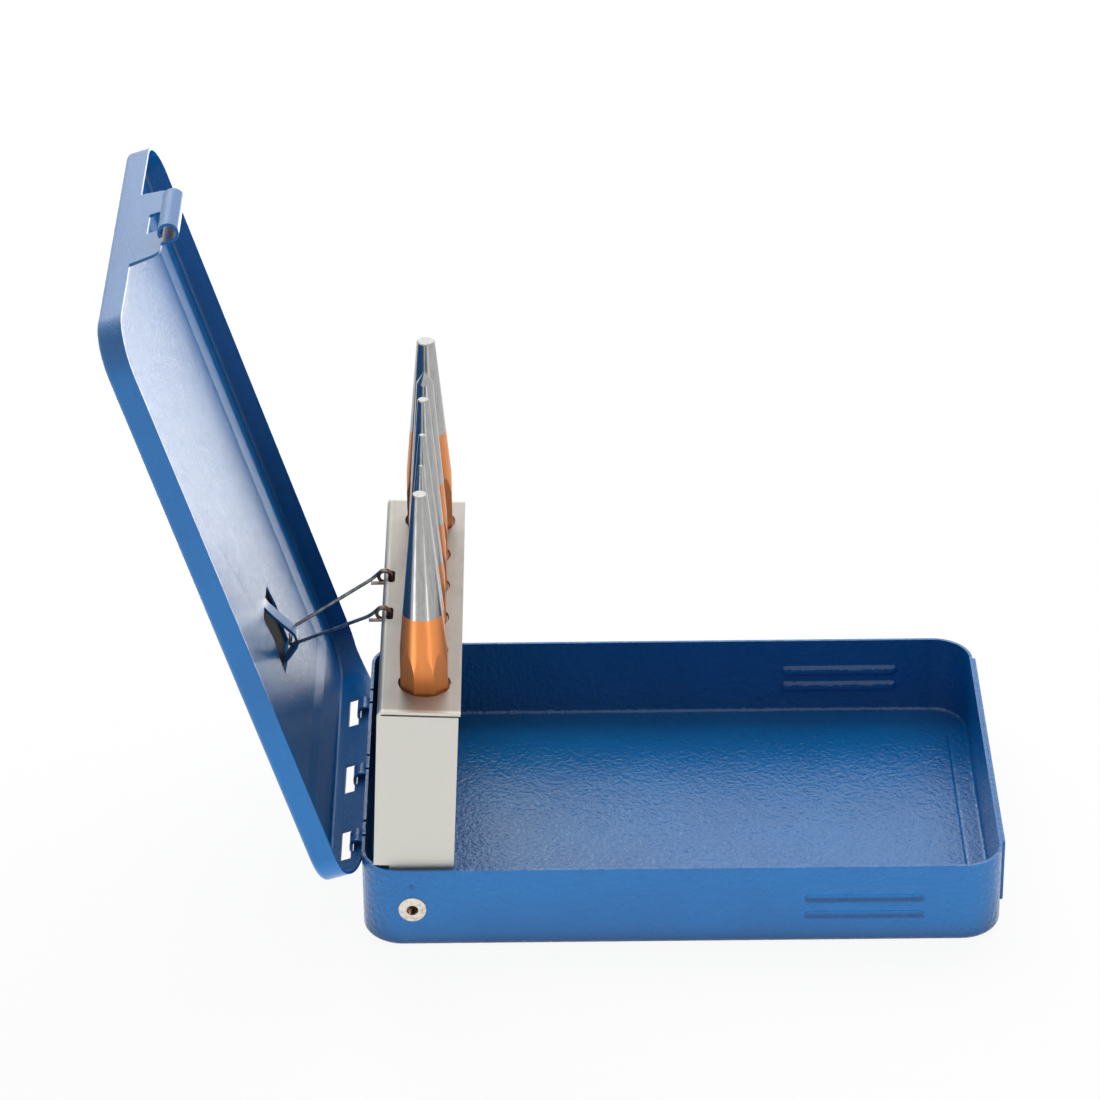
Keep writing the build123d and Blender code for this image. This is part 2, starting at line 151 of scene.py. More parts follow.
# the rack's ends are painted paler from one X to the other, a painted highlight for the light that falls on the end
# ear facing the front
zincLook = {
    "colour": (0.365, 0.35, 0.32), "dull": (0.33, 0.32, 0.295), "ends": (0.60, 0.59, 0.545),
    "paintedHighlightFrom": 52.8, "paintedHighlightTo": 54.0, "roughness": 0.5, "metal": 0.8,
}


def makeZincSteel():
    look = zincLook
    kit = newMaterial("satinZinc")
    place = kit.objectPlace()
    grain = kit.noise(place, 900, detail=3, stretch=(0.06, 1, 1))
    spangle = kit.noise(place, 120, detail=4)
    across = kit.maths("ABSOLUTE", kit.axes(place)[0])
    # painted highlight: the ends colour lightens both end ears, standing in for the front light falling on them
    ends = kit.step(across, look["paintedHighlightFrom"] * mm, look["paintedHighlightTo"] * mm)
    colour = kit.blend(kit.step(spangle, 0.35, 0.7), look["colour"], look["dull"])
    colour = kit.blend(ends, colour, look["ends"])
    rough = look["roughness"] + (grain - 0.5) * 0.16
    normal = kit.bump(grain, 0.02 * mm, 0.5)
    return kit.finish(Base_Color=colour, Metallic=look["metal"], Roughness=rough, Normal=normal)


nickelLook = {"colour": (0.80, 0.74, 0.66), "worn": (0.60, 0.54, 0.47), "roughness": 0.24}


def makeNickel():
    look = nickelLook
    kit = newMaterial("dullNickel")
    wear = kit.noise(kit.objectPlace(), 700, detail=3)
    colour = kit.blend(kit.step(wear, 0.4, 0.7), look["colour"], look["worn"])
    rough = look["roughness"] + (wear - 0.5) * 0.2
    return kit.finish(Base_Color=colour, Metallic=1.0, Roughness=rough, Normal=kit.bump(wear, 0.03 * mm, 0.5))


# the wire browns towards its eyes, from one Y to the other
springLook = {
    "colour": (0.42, 0.42, 0.41), "dull": (0.22, 0.22, 0.23), "brown": (0.17, 0.10, 0.06), "brownShare": 0.7,
    "brownFrom": 83, "brownTo": 78, "roughness": 0.30,
}


def makeSpringWire():
    look = springLook
    kit = newMaterial("springWire")
    place = kit.objectPlace()
    streak = kit.noise(place, 500, detail=3)
    eyes = kit.step(kit.axes(place)[1], look["brownFrom"] * mm, look["brownTo"] * mm)
    bare = kit.blend(kit.step(streak, 0.4, 0.65), look["colour"], look["dull"])
    colour = kit.blend(eyes * look["brownShare"], bare, look["brown"])
    rough = look["roughness"] + (streak - 0.5) * 0.2
    return kit.finish(Base_Color=colour, Metallic=1.0, Roughness=rough, Normal=kit.bump(streak, 0.02 * mm, 0.4))


punchLook = {
    "lacquer": (0.78, 0.265, 0.070), "lacquerDark": (0.70, 0.225, 0.058), "lacquerRough": 0.30,
    "lacquerMetal": 0.6, "edgeWave": 0.5,
    "steel": (0.40, 0.40, 0.395), "steelDark": (0.34, 0.34, 0.335), "steelRough": 0.20,
}


def makePunchFinish(name, lacquerTop):
    # lacquer up to a wavy edge, ground steel above it
    look = punchLook
    kit = newMaterial(name)
    place = kit.objectPlace()
    wave = kit.noise(place, 260, detail=2)
    edge = lacquerTop * mm + (wave - 0.5) * (2 * look["edgeWave"] * mm)
    steelMask = kit.step(kit.axes(place)[2] - edge, -0.12 * mm, 0.12 * mm)
    grind = kit.noise(place, 1300, detail=3, stretch=(1, 1, 0.12))
    streak = kit.noise(place, 420, detail=3, stretch=(1, 1, 0.06))
    lacquer = kit.blend(kit.step(streak, 0.35, 0.75), look["lacquer"], look["lacquerDark"])
    steel = kit.blend(kit.step(grind, 0.35, 0.7), look["steel"], look["steelDark"])
    lacquerRough = look["lacquerRough"] + (streak - 0.5) * 0.08
    steelRough = look["steelRough"] + (grind - 0.5) * 0.08
    rough = lacquerRough * (1 - steelMask) + steelRough * steelMask
    metal = look["lacquerMetal"] + steelMask * (1 - look["lacquerMetal"])
    height = grind * steelMask + streak * (1 - steelMask) * 0.2
    return kit.finish(Base_Color=kit.blend(steelMask, lacquer, steel), Metallic=metal, Roughness=rough,
                      Normal=kit.bump(height, 0.012 * mm, 0.5))


bluePaint = makeBluePaint("bluePowderCoat", paintLook["trayPeel"])
lidPaint = makeBluePaint("blueLidCoat", paintLook["lidPeel"])
zincSteel = makeZincSteel()
nickel = makeNickel()
springSteel = makeSpringWire()
print("materials ready")


def placeInScene(name, data):
    made = bpy.data.objects.new(name, data)
    bpy.context.scene.collection.objects.link(made)
    return made


def blockBetween(low, high):
    # a plain block between two corners given in millimetres
    bm = bmesh.new()
    bmesh.ops.create_cube(bm, size=1)
    for v in bm.verts:
        v.co = Vector([low[i] if v.co[i] < 0 else high[i] for i in range(3)]) * mm
    return bm


def roundEdges(bm, edges, radius, segments):
    bmesh.ops.bevel(bm, geom=edges, offset=radius * mm, offset_type="OFFSET", segments=segments,
                    profile=0.5, affect="EDGES", material=-1, clamp_overlap=True)


def cutAcross(bm, axis, places, keep):
    # slices the faces that keep() picks, at each place along an axis
    normal = Vector([1 if i == axis else 0 for i in range(3)])
    for place in places:
        faces = [f for f in bm.faces if keep(f)]
        edges = list({e for f in faces for e in f.edges})
        verts = list({v for f in faces for v in f.verts})
        bmesh.ops.bisect_plane(bm, geom=verts + edges + faces, dist=1e-7,
                               plane_co=normal * (place * mm), plane_no=normal)


def removeFaces(bm, inside):
    gone = [f for f in bm.faces if inside(f.calc_center_median())]
    bmesh.ops.delete(bm, geom=gone, context="FACES")


def joinInto(whole, part):
    mesh = bpy.data.meshes.new("part")
    part.to_mesh(mesh)
    part.free()
    whole.from_mesh(mesh)
    bpy.data.meshes.remove(mesh)


def nearValue(length, size):
    return abs(length - size * mm) < 0.02 * mm


def edgeRun(edge):
    return edge.verts[1].co - edge.verts[0].co


def smoothBetween(value, low, high):
    t = min(max((value - low) / (high - low), 0), 1)
    return t * t * (3 - 2 * t)


def boxPan(sizes, openUp):
    # a drawn pan: a box with one open side, round corners and a round foot
    bm = blockBetween((-sizes["halfWidth"], sizes["front"], sizes["low"]),
                      (sizes["halfWidth"], sizes["back"], sizes["high"]))
    openSide = [f for f in bm.faces if f.normal.z * (1 if openUp else -1) > 0.9]
    bmesh.ops.delete(bm, geom=openSide, context="FACES_ONLY")
    upright = [e for e in bm.edges if abs(edgeRun(e).z) > 1 * mm]
    roundEdges(bm, upright, sizes["corner"], 14)
    floorZ = sizes["low" if openUp else "high"] * mm
    foot = [e for e in bm.edges if all(abs(v.co.z - floorZ) < 1e-7 for v in e.verts)
            and len(e.link_faces) == 2 and any(abs(f.normal.z) < 0.5 for f in e.link_faces)]
    roundEdges(bm, foot, sizes["bend"], 5)
    return bm


def makePiece(name, bm, material, body, replaced=(), sharpAngle=35, bevel=0.0, sheet=0.0):
    # sheet gives the surface a wall, bevel softens the edges sharper than sharpAngle
    for face in bm.faces:
        face.smooth = True
    for edge in bm.edges:
        edge.smooth = edge.calc_face_angle(0) < math.radians(sharpAngle)
    mesh = bpy.data.meshes.new(name)
    bm.to_mesh(mesh)
    bm.free()
    piece = placeInScene(name, mesh)
    mesh.materials.append(material)
    if sheet:
        wall = piece.modifiers.new("sheet", "SOLIDIFY")
        wall.thickness = sheet * mm
        wall.offset = -1
        wall.use_even_offset = True
    if bevel:
        rounding = piece.modifiers.new("edges", "BEVEL")
        rounding.width = bevel * mm
        rounding.segments = 2
        rounding.limit_method = "ANGLE"
        rounding.angle_limit = math.radians(sharpAngle)
        rounding.harden_normals = False
    weighted = piece.modifiers.new("normals", "WEIGHTED_NORMAL")
    weighted.keep_sharp = True
    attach(piece, body)
    if replaced:
        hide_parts(*replaced)
    return piece


def copyOfNode(node):
    bm = bmesh.new()
    bm.from_mesh(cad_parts[node].data)
    bmesh.ops.remove_doubles(bm, verts=bm.verts, dist=0.002 * mm)
    bmesh.ops.dissolve_limit(bm, angle_limit=math.radians(0.5), verts=bm.verts, edges=bm.edges)
    return bm


cameraLook = {
    "place": Vector((-1.02749, 0.03383, 0.68149)),
    "right": Vector((-0.00506, -0.99995, -0.00858)),
    "up": Vector((0.50168, -0.00996, 0.86499)),
    "lens": 149.42,
}


def makeCamera():
    data = bpy.data.cameras.new("studioCamera")
    data.sensor_width = 36
    data.lens = cameraLook["lens"]
    data.clip_start = 0.05
    data.clip_end = 20
    camera = placeInScene("studioCamera", data)
    right = cameraLook["right"].normalized()
    back = right.cross(cameraLook["up"]).normalized()
    turn = Matrix((right, back.cross(right), back)).transposed().to_4x4()
    camera.matrix_world = Matrix.Translation(cameraLook["place"]) @ turn
    bpy.context.scene.camera = camera


makeCamera()
print("camera placed")


# pivot, dimple and ribs are given as Y and Z on the side walls; the cuts are the rows of
# points that a pressed mark needs around its middle
trayLook = {
    "halfWidth": 56.3, "front": -82.4, "back": 83.2, "low": 0.0, "high": 23.4,
    "corner": 10.6, "bend": 1.8, "sheet": 0.8, "edges": 0.16,
    "ribCentre": -46.45, "ribHeights": (13.65, 8.6), "ribHalfLength": 14.55, "ribDepth": 0.85,
    "ribSlope": (0.3, 1.45), "ribCuts": (1.45, 1.15, 0.9, 0.65, 0.35), "ribEndCuts": (-0.6, 0.1, 0.5, 0.8, 1.1, 1.45),
    "pivot": (70.1, 11.5), "pivotHole": 1.75,
    "dimple": (70.1, 19.0), "dimpleDepth": 0.55, "dimpleSlope": (0.1, 1.25),
    "dimpleCuts": (-1.3, -0.9, -0.45, 0, 0.45, 0.9, 1.3),
    "creaseY": -76.2, "creaseFrom": -53.0, "creaseTo": 43.0, "creaseDepth": 0.32, "creaseSlope": (0.1, 0.7),
    "creaseCuts": (-0.75, -0.4, -0.12, 0.12, 0.4, 0.75), "creaseRunOut": 1.5,
    "hooks": (-36.0, -4.2, 28.9), "hookWidth": 5.6, "notch": 1.0, "notchFoot": 18.4,
}


def onBack(face):
    return face.normal.y > 0.99


def onFront(face):
    return face.normal.y < -0.99


def pressSideWalls(bm):
    look = trayLook
    pivotY, pivotZ = look["pivot"]
    dimpleY, dimpleZ = look["dimple"]
    hole = look["pivotHole"]
    rows = [z + side * s for z in look["ribHeights"] for s in look["ribCuts"] for side in (-1, 1)]
    rows += [dimpleZ + d for d in look["dimpleCuts"]]
    columns = [look["ribCentre"] + end * (look["ribHalfLength"] + s) for end in (-1, 1)
               for s in look["ribEndCuts"]]
    columns += [dimpleY + d for d in look["dimpleCuts"]]

    def onSide(face):
        return abs(face.normal.x) > 0.99

    cutAcross(bm, 2, rows + [pivotZ - hole, pivotZ + hole], onSide)
    cutAcross(bm, 1, columns + [pivotY - hole, pivotY + hole], onSide)
    for v in bm.verts:
        if abs(abs(v.co.x) - look["halfWidth"] * mm) > 1e-6:
            continue
        y, z = v.co.y / mm, v.co.z / mm
        push = 0
        for ribZ in look["ribHeights"]:
            along = max(abs(y - look["ribCentre"]) - look["ribHalfLength"], 0)
            away = math.hypot(along, z - ribZ)
            push = max(push, look["ribDepth"] * (1 - smoothBetween(away, *look["ribSlope"])))
        away = math.hypot(y - dimpleY, z - dimpleZ)
        push = max(push, look["dimpleDepth"] * (1 - smoothBetween(away, *look["dimpleSlope"])))
        v.co.x -= math.copysign(push * mm, v.co.x)
    removeFaces(bm, lambda c: abs(c.x) > (look["halfWidth"] - 1.3) * mm
                and abs(c.y / mm - pivotY) < hole and abs(c.z / mm - pivotZ) < hole)


def makeTray():
    look = trayLook
    bm = boxPan(look, openUp=True)
    pressSideWalls(bm)

    # notches in the back rim beside the hooks
    half, notch = look["hookWidth"] / 2, look["notch"]
    columns = [x + side * (half + gap) for x in look["hooks"] for side in (-1, 1) for gap in (0, notch)]
    cutAcross(bm, 0, columns, onBack)
    cutAcross(bm, 2, [look["notchFoot"]], onBack)
    removeFaces(bm, lambda c: c.y > (look["back"] - 0.2) * mm and c.z > look["notchFoot"] * mm
                and any(half < abs(c.x / mm - x) < half + notch for x in look["hooks"]))

    # rows of points along the crease of the floor
    def onFloor(face):
        return face.normal.z < -0.99

    def onCrease(face):
        return onFloor(face) and abs(face.calc_center_median().y / mm - look["creaseY"]) < 0.8

    left, right, runOut = look["creaseFrom"], look["creaseTo"], look["creaseRunOut"]
    cutAcross(bm, 1, [look["creaseY"] + d for d in look["creaseCuts"]], onFloor)
    cutAcross(bm, 0, [left, left + runOut, right - runOut, right], onCrease)
    return makePiece("trayShell", bm, bluePaint, "base", ["base_tray"],
                     bevel=look["edges"], sheet=look["sheet"])


def sinkCrease(piece):
    # turns the sheet into a real wall and lowers the inner face along the crease
    look = trayLook
    graph = bpy.context.evaluated_depsgraph_get()
    for modifier in piece.modifiers:
        modifier.show_viewport = modifier.type == "SOLIDIFY"
    graph.update()
    solid = bpy.data.meshes.new_from_object(piece.evaluated_get(graph))
    bm = bmesh.new()
    bm.from_mesh(solid)
    for v in bm.verts:
        x, y, z = v.co / mm
        if abs(z - look["sheet"]) < 0.15 and look["creaseFrom"] + 1 < x < look["creaseTo"] - 1:
            sink = 1 - smoothBetween(abs(y - look["creaseY"]), *look["creaseSlope"])
            v.co.z -= look["creaseDepth"] * sink * mm
    for edge in bm.edges:
        edge.smooth = edge.calc_face_angle(0) < math.radians(35)
    bm.to_mesh(piece.data)
    bm.free()
    bpy.data.meshes.remove(solid)
    piece.modifiers.remove(piece.modifiers["sheet"])
    for modifier in piece.modifiers:
        modifier.show_viewport = True


sinkCrease(makeTray())
print("tray pressed")


# the hooks rise from the tray's back wall and curl over the lid's windows
hookLook = {
    "centre": (84.55, 19.4), "radius": 1.35, "root": 1.2, "tail": 1.4, "tailBend": 0.5, "tailTuck": 0.12,
    "sheet": 0.8, "edges": 0.14,
}


def stripAlong(points, fromX, toX):
    # a strip of sheet that follows side-view points, from one X to another
    bm = bmesh.new()
    first = [bm.verts.new((fromX * mm, y * mm, z * mm)) for y, z in points]
    edges = [bm.edges.new(pair) for pair in zip(first, first[1:])]
    made = bmesh.ops.extrude_edge_only(bm, edges=edges)
    moved = [g for g in made["geom"] if isinstance(g, bmesh.types.BMVert)]
    bmesh.ops.translate(bm, verts=moved, vec=Vector(((toX - fromX) * mm, 0, 0)))
    return bm


def makeHooks():
    look = hookLook
    cy, cz = look["centre"]
    r, half = look["radius"], trayLook["hookWidth"] / 2
    turns = [math.radians(a) for a in range(0, 181, 12)]
    points = [(cy - r, cz - look["root"])]
    points += [(cy - r * math.cos(a), cz + r * math.sin(a)) for a in turns]
    points += [(cy + r, cz - look["tail"] + look["tailBend"]), (cy + r - look["tailTuck"], cz - look["tail"])]
    whole = bmesh.new()
    for x in trayLook["hooks"]:
        joinInto(whole, stripAlong(points, x - half, x + half))
    outward = []  # the wall grows away from the normals, so these are turned inwards
    for f in whole.faces:
        arm = f.calc_center_median() - Vector((0, cy, cz)) * mm
        if arm.y * f.normal.y + arm.z * f.normal.z > 0:
            outward.append(f)
    bmesh.ops.reverse_faces(whole, faces=outward)
    makePiece("hingeHooks", whole, bluePaint, "base", bevel=look["edges"], sheet=look["sheet"])


makeHooks()


catchLook = {
    "halfWidth": 45.5, "outer": -83.2, "sheet": 0.8, "low": 4.5, "high": 23.4, "footRadius": 2.0, "edges": 0.14,
    "nibX": 0.9, "nibZ": 15.9, "nibHalf": 4.5, "nibHeight": 1.5, "nibReach": 0.9,
    "nibEndCuts": (-2.2, -1.4, -0.8, -0.3, 0.2), "nibCuts": (-1.7, -1.3, -0.9, -0.45, 0, 0.45, 0.9, 1.3, 1.7),
}


def makeCatchPlate():
    look = catchLook
    bm = blockBetween((-look["halfWidth"], look["outer"], look["low"]),
                      (look["halfWidth"], look["outer"] + look["sheet"], look["high"]))
    feet = [e for e in bm.edges if abs(edgeRun(e).y) > 0.1 * mm and nearValue(e.verts[0].co.z, look["low"])]
    roundEdges(bm, feet, look["footRadius"], 6)
    columns = [look["nibX"] + side * (look["nibHalf"] + d) for side in (-1, 1) for d in look["nibEndCuts"]]
    cutAcross(bm, 0, columns, onFront)
    cutAcross(bm, 2, [look["nibZ"] + d for d in look["nibCuts"]], onFront)
    for v in bm.verts:
        if not nearValue(v.co.y, look["outer"]):
            continue
        along = max(abs(v.co.x / mm - look["nibX"]) - (look["nibHalf"] - look["nibHeight"]), 0)
        away = math.hypot(along, v.co.z / mm - look["nibZ"])
        dome = max(1 - (away / (look["nibHeight"] + 0.15)) ** 2, 0) ** 0.6
        v.co.y -= look["nibReach"] * dome * mm
    makePiece("catchPlate", bm, bluePaint, "base", ["catch_plate"], bevel=look["edges"])


makeCatchPlate()
print("catch plate and hooks made")


# the lid is drawn shut, as an upturned pan, and then opened about its hinge. In the panel, the
# bridge and the dent, the second number is how far something lies from the hinge wall, and in the
# tongue how far it hangs below the top
lidLook = {
    "halfWidth": 57.5, "front": -84.4, "back": 84.7, "low": 20.9, "high": 27.5,
    "corner": 11.8, "bend": 1.6, "sheet": 0.8, "edges": 0.16,
    "openAngle": 107.4, "hinge": Vector((0, 84.3, 18.9)),
    "backDepth": 9.6, "rampFrom": 55.5, "rampTo": 44.0,
    "windows": (-36.0, -4.2, 28.9), "windowHalf": 6.9, "windowTop": 3.8, "windowFoot": 6.6, "notchFoot": 7.3,
    "panelX": (44.5, 49.5), "panelP": (12.0, 17.0), "panelSpan": 84.5, "panelRise": 0.95, "panelBend": 0.6,
    "bridgeX": 4.3, "bridgeHalf": 2.2, "slotWidth": 6.4,
    "bridgeProfile": ((37.0, 0.0), (38.6, 2.1), (40.2, 4.1), (41.2, 4.85), (42.5, 5.0), (43.8, 4.95),
                      (45.6, 4.1), (48.0, 2.85), (50.5, 1.6), (52.6, 0.6), (54.5, 0.0)),
    "dentHalf": (21.0, 14.0), "dentDepth": 0.9, "dentMiddle": (3.3, 48.0),
    "dentCuts": (-1, -0.75, -0.5, 0.5, 0.75, 1),
    "tongueFrom": -17.6, "tongueTo": 18.4, "tongueFlare": 1.6, "tongueDepth": 14.4, "tongueCorner": 2.2,
    "tongueStart": 8.2, "latchWindow": (-4.5, 6.3), "latchRows": (10.0, 13.2),
    "rollFrom": -12.3, "rollTo": 8.0, "rollDrop": 17.0, "rollRadius": 1.9, "rollEnd": 205, "rollStep": 18,
}


def deepenHingeWall(bm):
    look = lidLook
    half = trayLook["hookWidth"] / 2 + trayLook["notch"]
    columns = [-look["rampTo"], look["rampTo"]]
    columns += [x + side * look["windowHalf"] for x in look["windows"] for side in (-1, 1)]
    columns += [x + side * half for x in trayLook["hooks"] for side in (-1, 1)]
    cutAcross(bm, 0, columns, onBack)
    drop = look["backDepth"] - (look["high"] - look["low"])
    for v in bm.verts:
        if v.co.z < (look["low"] + 0.01) * mm and v.co.y > (look["back"] - look["corner"]) * mm:
            share = (look["rampFrom"] - abs(v.co.x / mm)) / (look["rampFrom"] - look["rampTo"])
            v.co.z -= drop * min(max(share, 0), 1) * mm
    bm.normal_update()
    wall = (look["back"] - 0.7) * mm
    top, foot, notch = [look["high"] - look[key] for key in ("windowTop", "windowFoot", "notchFoot")]
    cutAcross(bm, 2, [top, foot, notch], onBack)
    removeFaces(bm, lambda c: c.y > wall and foot < c.z / mm < top
                and any(abs(c.x / mm - x) < look["windowHalf"] for x in look["windows"]))
    removeFaces(bm, lambda c: c.y > wall and notch < c.z / mm < foot
                and any(abs(c.x / mm - x) < half for x in trayLook["hooks"]))


def cutLidPlate(bm):
    look = lidLook
    middleX, middleP = look["dentMiddle"]
    halfX, halfP = look["dentHalf"]
    inner, outer = look["bridgeHalf"], look["bridgeHalf"] + look["slotWidth"]
    rows = [p for p, q in look["bridgeProfile"]]
    bends = (0, 0, look["panelBend"], -look["panelBend"])
    slopeX = [x + d for x, d in zip(look["panelX"] * 2, bends)]
    slopeP = [p + d for p, d in zip(look["panelP"] * 2, bends)]

    def onPlate(face):
        return face.normal.z > 0.99

    def nearDent(face):
        p = look["back"] - face.calc_center_median().y / mm
        return onPlate(face) and abs(p - middleP) < halfP + 4

    cutAcross(bm, 0, [look["bridgeX"] + side * d for side in (-1, 1) for d in (inner, outer)], onPlate)
    cutAcross(bm, 1, [look["back"] - p for p in rows], onPlate)
    cutAcross(bm, 0, [side * x for x in slopeX for side in (-1, 1)], onPlate)
    cutAcross(bm, 1, [end * (look["panelSpan"] - p) for p in slopeP for end in (-1, 1)], onPlate)
    cutAcross(bm, 0, [middleX + halfX * s for s in look["dentCuts"]], nearDent)
    cutAcross(bm, 1, [look["back"] - middleP - halfP * s for s in (-1, 1)], nearDent)
    removeFaces(bm, lambda c: c.z > (look["high"] - 0.5) * mm
                and inner < abs(c.x / mm - look["bridgeX"]) < outer
                and rows[0] < look["back"] - c.y / mm < rows[-1])


def dentDepth(x, p):
    look = lidLook
    away = abs(x - look["dentMiddle"][0]) / look["dentHalf"][0]
    away += abs(p - look["dentMiddle"][1]) / look["dentHalf"][1]
    return look["dentDepth"] * max(1 - away, 0)


def bridgeDepth(p):
    depth = 0
    for (p0, q0), (p1, q1) in zip(lidLook["bridgeProfile"], lidLook["bridgeProfile"][1:]):
        if p0 - 0.01 <= p <= p1 + 0.01:
            depth = q0 + (q1 - q0) * (p - p0) / (p1 - p0)
    return depth


def panelRise(x, y):
    look = lidLook
    innerX, outerX = look["panelX"]
    outerP, innerP = look["panelP"]
    across = min(max((outerX - abs(x)) / (outerX - innerX), 0), 1)
    along = min(max((look["panelSpan"] - abs(y) - outerP) / (innerP - outerP), 0), 1)
    return look["panelRise"] * min(across, along)


def pressLidPlate(bm):
    look = lidLook
    first, last = look["bridgeProfile"][0][0], look["bridgeProfile"][-1][0]
    for v in bm.verts:
        if v.co.z < (look["high"] - 0.1) * mm:
            continue
        x, y = v.co.x / mm, v.co.y / mm
        p = look["back"] - y
        onBridge = abs(x - look["bridgeX"]) < look["bridgeHalf"] + 0.01 and first - 0.01 <= p <= last + 0.01
        push = bridgeDepth(p) if onBridge else dentDepth(x, p)
        v.co.z += (panelRise(x, y) - push) * mm


def rimEdges(bm, z, fromX, toX):
    # the edges at a height on the lid's front wall, between two places along X
    front = lidLook["front"]
    return [e for e in bm.edges if all(nearValue(v.co.y, front) and nearValue(v.co.z, z) for v in e.verts)
            and fromX < (e.verts[0].co.x + e.verts[1].co.x) / 2 / mm < toX]


def pullEdges(bm, edges, place):
    made = bmesh.ops.extrude_edge_only(bm, edges=edges)["geom"]
    verts = {g for g in made if isinstance(g, bmesh.types.BMVert)}
    for v in verts:
        v.co = place(v.co)
    return [g for g in made if isinstance(g, bmesh.types.BMEdge) and all(v in verts for v in g.verts)]


def addTongue(bm):
    look = lidLook
    front, top, depth = look["front"], look["high"], look["tongueDepth"]
    left, right, flare, corner = look["tongueFrom"], look["tongueTo"], look["tongueFlare"], look["tongueCorner"]
    columns = [left - flare, left - flare + 0.4, left + corner, *look["latchWindow"], look["rollFrom"],
               look["rollTo"], right - corner, right + flare - 0.4, right + flare]
    cutAcross(bm, 0, columns, onFront)
    rim = rimEdges(bm, look["low"], left - flare, right + flare)
    rimDepth = top - look["low"]
    windowTop, windowFoot = look["latchRows"]
    for q in (look["tongueStart"], windowTop, depth - corner, windowFoot, depth - 0.5, depth):
        # wide where it leaves the rim, with round corners at its foot
        lean = flare * (1 - (q - rimDepth) / (depth - rimDepth))
        inset = corner - math.sqrt(max(corner ** 2 - max(q - depth + corner, 0) ** 2, 0)) - lean

        def onTongue(co):
            x = min(max(co.x / mm, left + inset), right - inset)
            return Vector((x, front, top - q)) * mm

        rim = pullEdges(bm, rim, onTongue)
    bmesh.ops.remove_doubles(bm, verts=bm.verts, dist=0.005 * mm)
    rim = rimEdges(bm, top - depth, look["rollFrom"], look["rollTo"])
    r = look["rollRadius"]
    for angle in range(-90, look["rollEnd"] + 1, look["rollStep"]):
        down = look["rollDrop"] + r * math.cos(math.radians(angle))
        out = r + r * math.sin(math.radians(angle))
        rim = pullEdges(bm, rim, lambda co: Vector((co.x / mm, front - out, top - down)) * mm)
    low, high = look["latchWindow"]
    removeFaces(bm, lambda c: nearValue(c.y, front) and low < c.x / mm < high
                and windowTop < top - c.z / mm < windowFoot)
    bmesh.ops.remove_doubles(bm, verts=bm.verts, dist=0.005 * mm)


def openTheLid(bm):
    turn = Matrix.Rotation(-math.radians(lidLook["openAngle"]), 3, "X")
    bmesh.ops.rotate(bm, verts=bm.verts, cent=lidLook["hinge"] * mm, matrix=turn)


def makeLid():
    bm = boxPan(lidLook, openUp=False)
    deepenHingeWall(bm)
    cutLidPlate(bm)
    pressLidPlate(bm)
    addTongue(bm)
    openTheLid(bm)
    makePiece("lidShell", bm, lidPaint, "lid", ["lid_shell"],
              bevel=lidLook["edges"], sheet=lidLook["sheet"])


makeLid()
print("lid drawn and opened")


# a blank paper label outside the lid; its underside is a near-black sheet of painted shade that shows through the
# slots beside the bridge
labelLook = {
    "halfWidth": 30.0, "fromHinge": 33.0, "toFront": 136.0, "corner": 4.0, "paper": 0.16, "lift": 0.03,
    "border": 2.2, "lineWidth": 0.7,
    "face": (0.60, 0.61, 0.61), "line": (0.02, 0.10, 0.26), "shadeBacking": (0.012, 0.010, 0.009),
}


def darker(colour, share):
    return tuple(c * share for c in colour)


def makeLabelFace():
    kit = newMaterial("labelPaper")
    place = kit.objectPlace()
    fibre = kit.noise(place, 1800, detail=3)
    stain = kit.noise(place, 60, detail=3)
    worn = kit.blend(kit.step(stain, 0.4, 0.75), labelLook["face"], darker(labelLook["face"], 0.95))
    rough = 0.45 + (fibre - 0.5) * 0.1
    return kit.finish(Base_Color=worn, Roughness=rough, Normal=kit.bump(fibre, 0.01 * mm, 0.4))


def makeShadeBackingSide():
    # painted shade: the underside is near-black to stand for the darkness seen through the slots
    kit = newMaterial("labelPaintedShade")
    patchy = kit.noise(kit.objectPlace(), 500, detail=3)
    colour = kit.blend(patchy, labelLook["shadeBacking"], darker(labelLook["shadeBacking"], 0.6))
    rough = 0.6 + (patchy - 0.5) * 0.2
    return kit.finish(Base_Color=colour, Roughness=rough, Normal=kit.bump(patchy, 0.02 * mm, 0.5))


def makeLabelLine():
    kit = newMaterial("labelLine")
    ink = kit.noise(kit.objectPlace(), 900, detail=2)
    colour = kit.blend(ink, labelLook["line"], darker(labelLook["line"], 0.8))
    return kit.finish(Base_Color=colour, Roughness=0.42 + (ink - 0.5) * 0.1)


def makeLabel():
    look = labelLook
    hingeWall = lidLook["back"]
    base = lidLook["high"] + lidLook["panelRise"] + look["lift"]
    bm = blockBetween((-look["halfWidth"], hingeWall - look["toFront"], base),
                      (look["halfWidth"], hingeWall - look["fromHinge"], base + look["paper"]))
    roundEdges(bm, [e for e in bm.edges if abs(edgeRun(e).z) > 0.1 * mm], look["corner"], 8)
    face = [f for f in bm.faces if f.normal.z > 0.9]
    for inset in (look["border"], look["lineWidth"]):
        ring = bmesh.ops.inset_region(bm, faces=face, thickness=inset * mm, use_even_offset=True)["faces"]
    for f in ring:
        f.material_index = 2
    for f in bm.faces:
        if f.normal.z < -0.9:
            f.material_index = 1
    openTheLid(bm)
    label = makePiece("lidLabelShadeBacking", bm, makeLabelFace(), "lid", sharpAngle=30)
    label.data.materials.append(makeShadeBackingSide())
    label.data.materials.append(makeLabelLine())


makeLabel()
print("blank label laid on")


rackLook = {"frameEdges": 0.14, "shelfEdges": 0.10}


def makeRack():
    makePiece("rackFrame", copyOfNode("rack_frame"), zincSteel, "rack", ["rack_frame"],
              bevel=rackLook["frameEdges"])
    makePiece("guideShelf", copyOfNode("guide_shelf"), zincSteel, "rack", ["guide_shelf"],
              bevel=rackLook["shelfEdges"])


makeRack()
print("rack folded")


